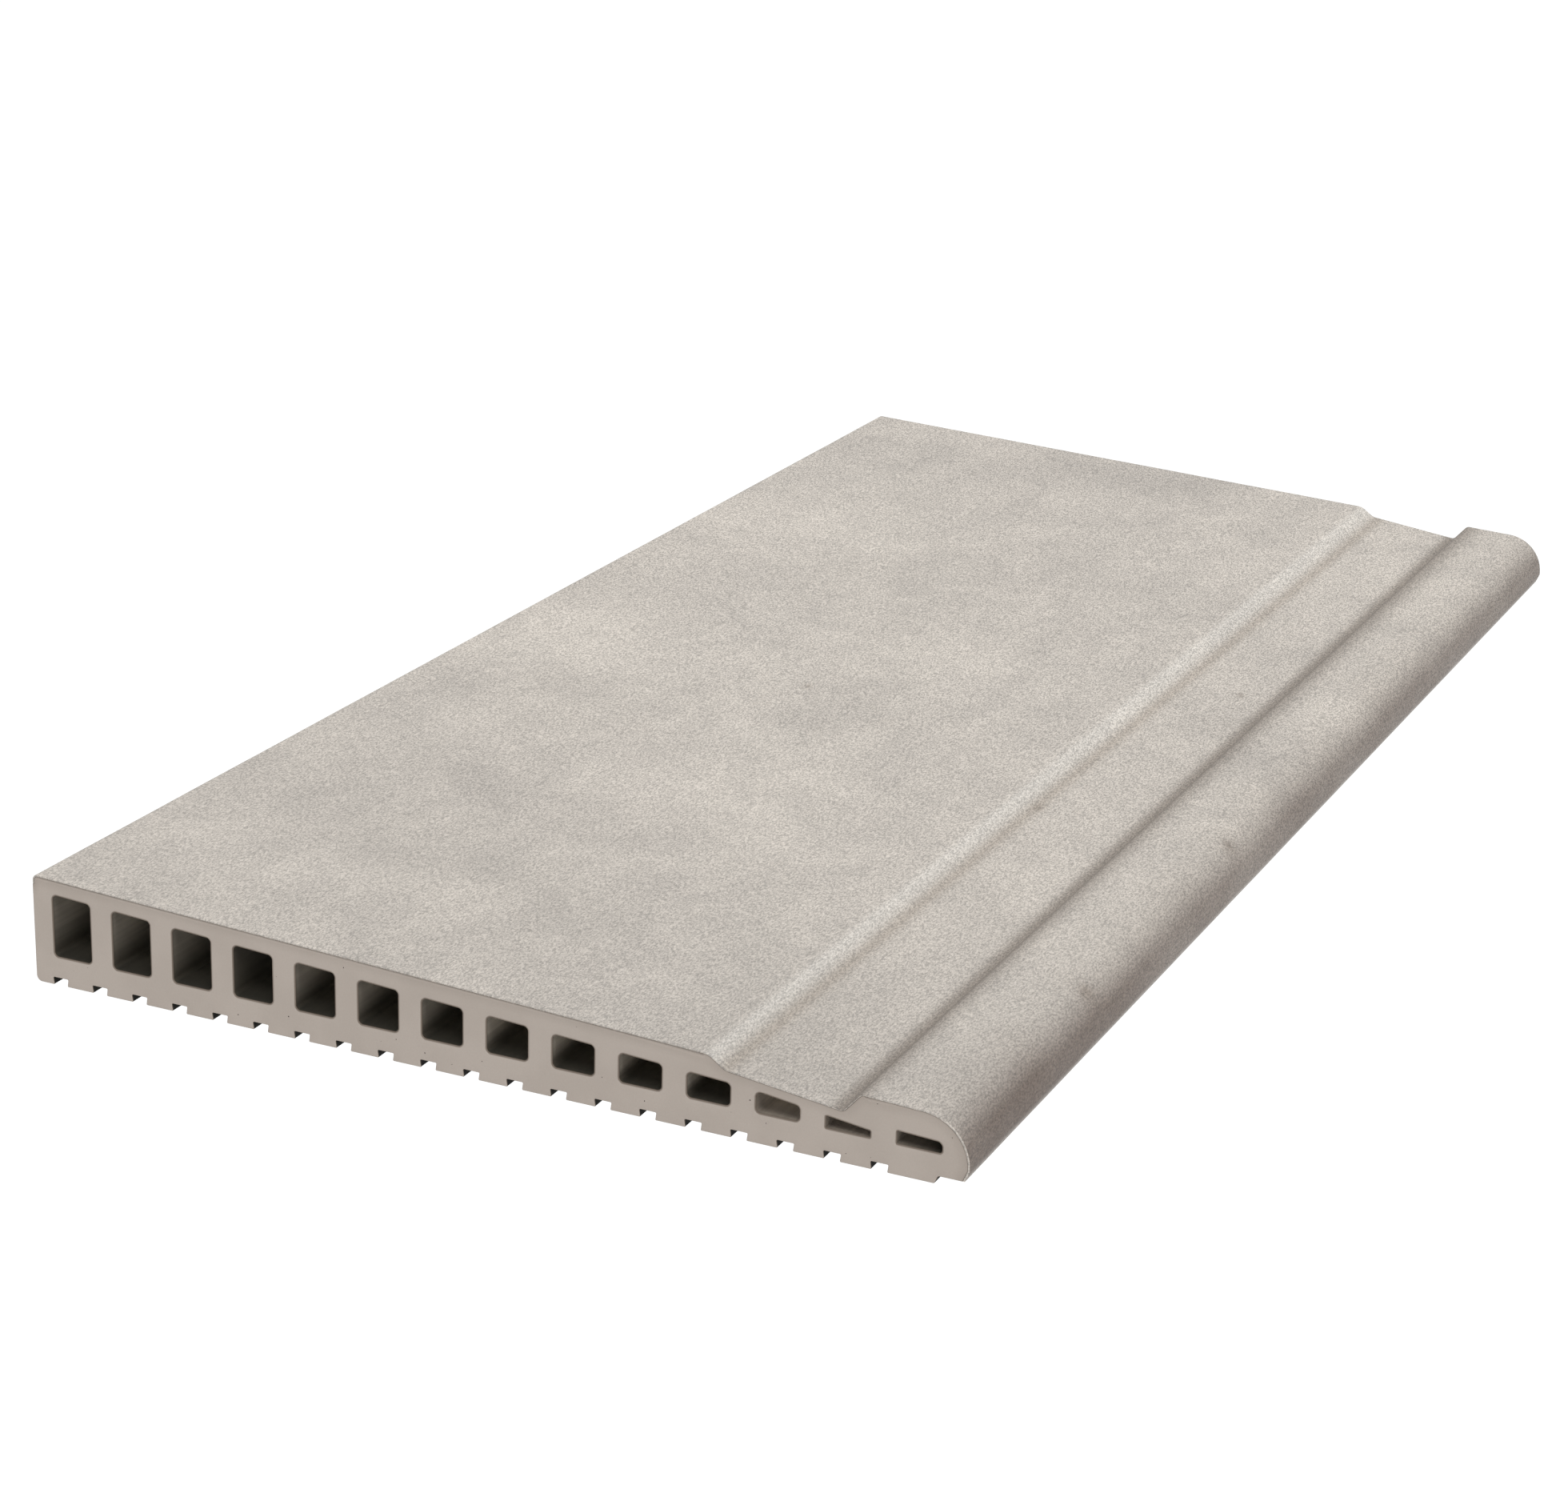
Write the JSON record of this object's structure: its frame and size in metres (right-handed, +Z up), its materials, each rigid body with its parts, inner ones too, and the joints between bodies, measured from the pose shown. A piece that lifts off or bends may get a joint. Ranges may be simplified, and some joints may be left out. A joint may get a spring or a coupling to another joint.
{
  "type": "pool edge tile",
  "caption": "Hollow extruded stoneware pool-edge tile, tapered deck, sloping finger-grip recess, rounded nose and ribbed bedding face.",
  "frame": {"origin": "middle of the footprint, on the plane of the rib bottoms", "axes": "+X across the profile from the flat back edge to the nose, +Y along the extrusion away from the pictured cut end, +Z up from the bedding face"},
  "size_m": [0.315, 0.66, 0.0359],
  "materials": {
    "stoneware": "matte fired stoneware, beige taupe, with fine pinholes",
    "glaze": "satin matte glaze in a cloudy greige concrete look, finely grained"
  },
  "bodies": {
    "root": {"stoneware_body": "stoneware", "glaze_coat": "glaze"}
  },
  "joints": []
}
